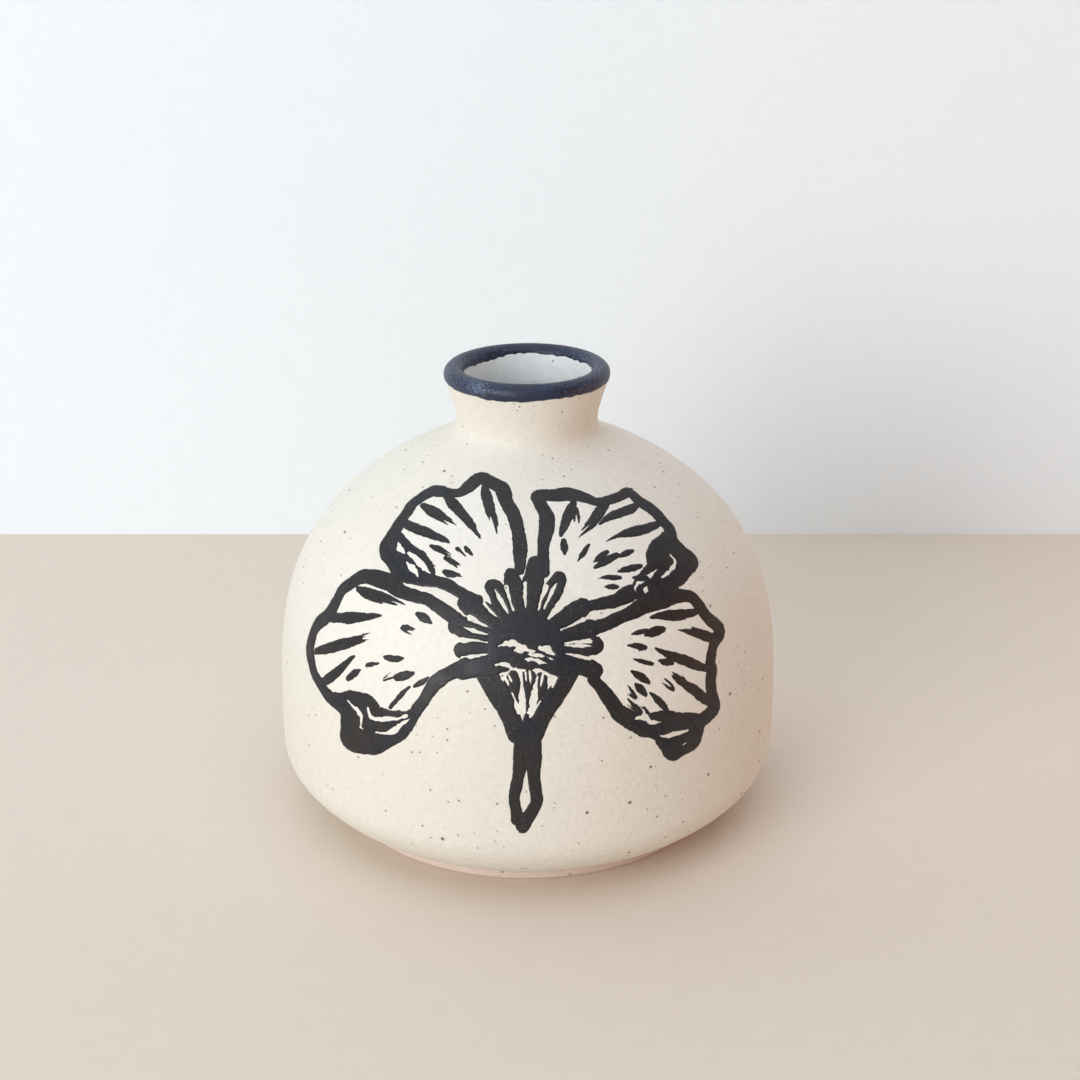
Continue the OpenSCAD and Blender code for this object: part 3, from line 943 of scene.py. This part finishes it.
stemLook = {
    # strokes as (path, widths, seed), in millimetres right of and above the heart
    "strokes": [
        ([(-8.6, -4.2), (-6.2, -8.6), (-3.6, -12.6), (-1.9, -17.0)], [3.2, 3.4, 3.6, 3.6], 200),
        ([(8.8, -5.0), (6.0, -9.4), (3.4, -13.0), (1.8, -17.0)], [3.2, 3.4, 3.6, 3.6], 201),
        ([(-0.4, -14.5), (-0.8, -19), (-1.4, -24), (-2.3, -29.5), (-1.6, -34)],
         [4.0, 3.2, 2.6, 2.3, 2.7], 220),
        ([(0.8, -15), (1.6, -19.5), (1.5, -25), (1.9, -30.5), (-0.8, -35.2)],
         [3.8, 3.1, 2.7, 2.5, 3.0], 221),
    ],
    "tongues": [((-5.4, -6.6), (-2.4, -12.2)), ((-2.6, -6.2), (-1.2, -11.0)), ((0.4, -6.0), (0.3, -12.4)),
                ((3.0, -6.6), (1.4, -11.2)), ((5.4, -7.4), (2.6, -12.0))],
    "slivers": [((-1.1, -5.6), (-0.6, -14.0)), ((2.0, -5.8), (0.9, -13.4))],
    "calyxEdge": [(-9.5, -6), (-4.5, -12), (0, -17), (4.5, -12.5), (9, -7), (0, -3), (-9.5, -6)],
}


def stemMarks():
    # two strokes close the calyx into the stem, tongues hang between them and a sliver stays bare below
    marks = [stroke(*line) for line in stemLook["strokes"]]
    for number, (start, stop) in enumerate(stemLook["tongues"]):
        middle = ((start[0] + stop[0]) / 2 + 0.3, (start[1] + stop[1]) / 2)
        marks.append(stroke([stop, middle, start], [0.6, 1.7, 2.6, 3.2], 210 + number, 0.3,
                            dry=(0.7, 0.4)))
    for number, (start, stop) in enumerate(stemLook["slivers"]):
        path = [start, ((start[0] + stop[0]) / 2, -10), stop]
        marks.append(stroke(path, [0.1, 0.7, 1.0, 0.1], 230 + number, 0.3, bare=True))
    return marks


def insideLine(flat, line):
    # distance to the nearest side of a closed line, counted positive inside it: a point is inside when a
    # ray to its right crosses an odd number of sides
    nearest = np.full(len(flat), 1e9)
    odd = np.zeros(len(flat), bool)
    for start, stop in zip(line, np.roll(line, -1, axis=0)):
        side = stop - start
        share = np.clip(((flat - start) @ side) / max(side @ side, 1e-9), 0, 1)
        nearest = np.minimum(nearest, np.hypot(*(flat - start - share[:, None] * side).T))
        if start[1] != stop[1]:
            crossing = start[0] + (flat[:, 1] - start[1]) * side[0] / side[1]
            odd ^= ((start[1] > flat[:, 1]) != (stop[1] > flat[:, 1])) & (flat[:, 0] < crossing)
    return np.where(odd, nearest, -nearest)


def washField(grid):
    # inside any petal's edge, or the calyx, held in to the middle of the outline
    flat = grid["flat"].reshape(-1, 2)
    field = np.full(len(flat), -9.0)
    front = grid["normal"].reshape(-1, 3) @ outAxis > 0.02
    closed = [petalLine(petal, np.linspace(0, 1, 70)) for petal in petals]
    closed.append(smoothLine(stemLook["calyxEdge"], 1.5))
    for line in closed:
        near = np.all((flat > line.min(0) - 1) & (flat < line.max(0) + 1), axis=1) & front
        field[near] = np.maximum(field[near], insideLine(flat[near], line) - blossom["lineWidth"] * 0.45)
    return field.reshape(grid["smooth"].shape[:2])


def paintBlossom():
    # lines on a fine grid, each layer its own piece that carries how many coats lie there; then the wash
    grid = frontGrid(blossom["step"])
    layers = {"outlines": outlineMarks(), "veins": veinMarks(), "stamens": stamenMarks(),
              "stem": stemMarks()}
    painted = {name: paintField(grid, marks) for name, marks in layers.items()}
    coats = sum(own for _, own in painted.values())
    pieces = {"outlines": ("brushedOutlines", "petal_outlines"), "veins": ("brushedVeins", "petal_veins"),
              "stamens": ("brushedStamens", "stamens"), "stem": ("brushedStem", "stem")}
    for name, (pieceName, node) in pieces.items():
        field = painted[name][0]
        points, faces, data = coatMesh(field, grid["place"], grid["normal"], blossom["thickness"][name],
                                       blossom["edge"], [coats])
        makePiece(pieceName, points, faces, brushedInk, node, sharp=60,
                  values=[("coats", "FLOAT", data[0])])
    grid = frontGrid(blossom["washStep"])
    points, faces, _ = coatMesh(washField(grid), grid["place"], grid["normal"],
                                blossom["thickness"]["wash"], blossom["edge"], [])
    makePiece("creamPetalWash", points, faces, creamWash, "petal_wash", sharp=60)


paintBlossom()
print("painted coats made")

setting = {
    "floorColour": "#E6D8C8",
    "wallColour": "#F4FCFF",
    "cardColour": "#78583A",
    "wallBehind": 0.155,      # metres behind the vase's axis
    "width": 3.0,
}


def stageSurface(name, outlineYZ, colour, roughness, clearBehind=False):
    # a profile in depth and height carried straight across the width; the wall is clear from behind
    outlineYZ = np.asarray(outlineYZ)
    half = setting["width"] / 2
    left = np.insert(outlineYZ, 0, -half, axis=1)
    right = np.insert(outlineYZ, 0, half, axis=1)
    count = len(outlineYZ)
    index = np.arange(count - 1)
    mesh = bpy.data.meshes.new(name)
    mesh.from_pydata(np.vstack([left, right]).tolist(), [],
                     np.stack([index, index + count, index + count + 1, index + 1], -1).tolist())
    mesh.shade_smooth()
    material, tree, shader, place = startMaterial(name + "Paint", roughness)
    mottle = addNode(tree, "TexNoise", {"Vector": place, "Scale": perMetre(5), "Detail": 4.0})
    shade = addNode(tree, "MapRange", {"Value": mottle, "From Min": 0.3, "From Max": 0.7, "To Min": 0.98})
    tint = addNode(tree, "VectorMath", {0: linearColour(colour)[:3], "Scale": shade}, operation="SCALE")
    setShader(tree, shader, {"Base Color": tint})
    if clearBehind:
        behind = addNode(tree, "NewGeometry").outputs["Backfacing"]
        either = addNode(tree, "MixShader", {0: behind, 1: shader, 2: addNode(tree, "BsdfTransparent")})
        tree.links.new(either.outputs["Shader"], tree.nodes["Material Output"].inputs["Surface"])
    mesh.materials.append(material)
    surface = bpy.data.objects.new(name, mesh)
    bpy.context.scene.collection.objects.link(surface)
    return surface


back = setting["wallBehind"]
stageSurface("paleTable", [(-2.0, 0.0), (back, 0.0)], setting["floorColour"], 0.6)
stageSurface("paleWall", [(back, 0.0), (back, 2.0)], setting["wallColour"], 0.9, clearBehind=True)
card = stageSurface("warmCard", [(0.8, 0.0), (0.8, 0.9)], setting["cardColour"], 0.9)
card.rotation_euler = (0.0, 0.0, np.radians(-90))
card.visible_camera = False       # it only reflects, so that no view shows it

lights = [
    # name, place, size in metres, power in watts, colour
    ("windowLight", (-0.9, -1.15, 0.5), 0.9, 13.9, "#FBFCFF"),
    ("roomFill", (0.5, -1.4, 0.8), 1.4, 1.5, "#FFEEDC"),
    ("ceilingBounce", (0.0, -0.3, 1.9), 2.2, 17.0, "#E9F3FF"),
    ("warmBounce", (0.6, -0.1, 0.08), 0.3, 0.45, "#FFA66A"),
]
for name, place, size, power, colour in lights:
    lamp = bpy.data.lights.new(name, "AREA")
    lamp.size = size
    lamp.energy = power
    lamp.color = linearColour(colour)[:3]
    holder = bpy.data.objects.new(name, lamp)
    holder.location = place
    holder.rotation_euler = (Vector((0, 0, 0.05)) - Vector(place)).to_track_quat("-Z", "Y").to_euler()
    bpy.context.scene.collection.objects.link(holder)

world = bpy.data.worlds.new("softRoom")
world.use_nodes = True
world.node_tree.nodes["Background"].inputs["Color"].default_value = linearColour("#E2EBF7")
world.node_tree.nodes["Background"].inputs["Strength"].default_value = 0.34
bpy.context.scene.world = world
bpy.context.scene.view_settings.view_transform = "Standard"

cameraData = bpy.data.cameras.new("viewCamera")
cameraData.sensor_width = 36.0
cameraData.lens = 61.48
camera = bpy.data.objects.new("viewCamera", cameraData)
camera.location = (0.002717, -0.37533, 0.20882)
camera.rotation_euler = (np.radians(90 - 21.675), 0.0, 0.0)
bpy.context.scene.collection.objects.link(camera)
bpy.context.scene.camera = camera

print("scene ready")
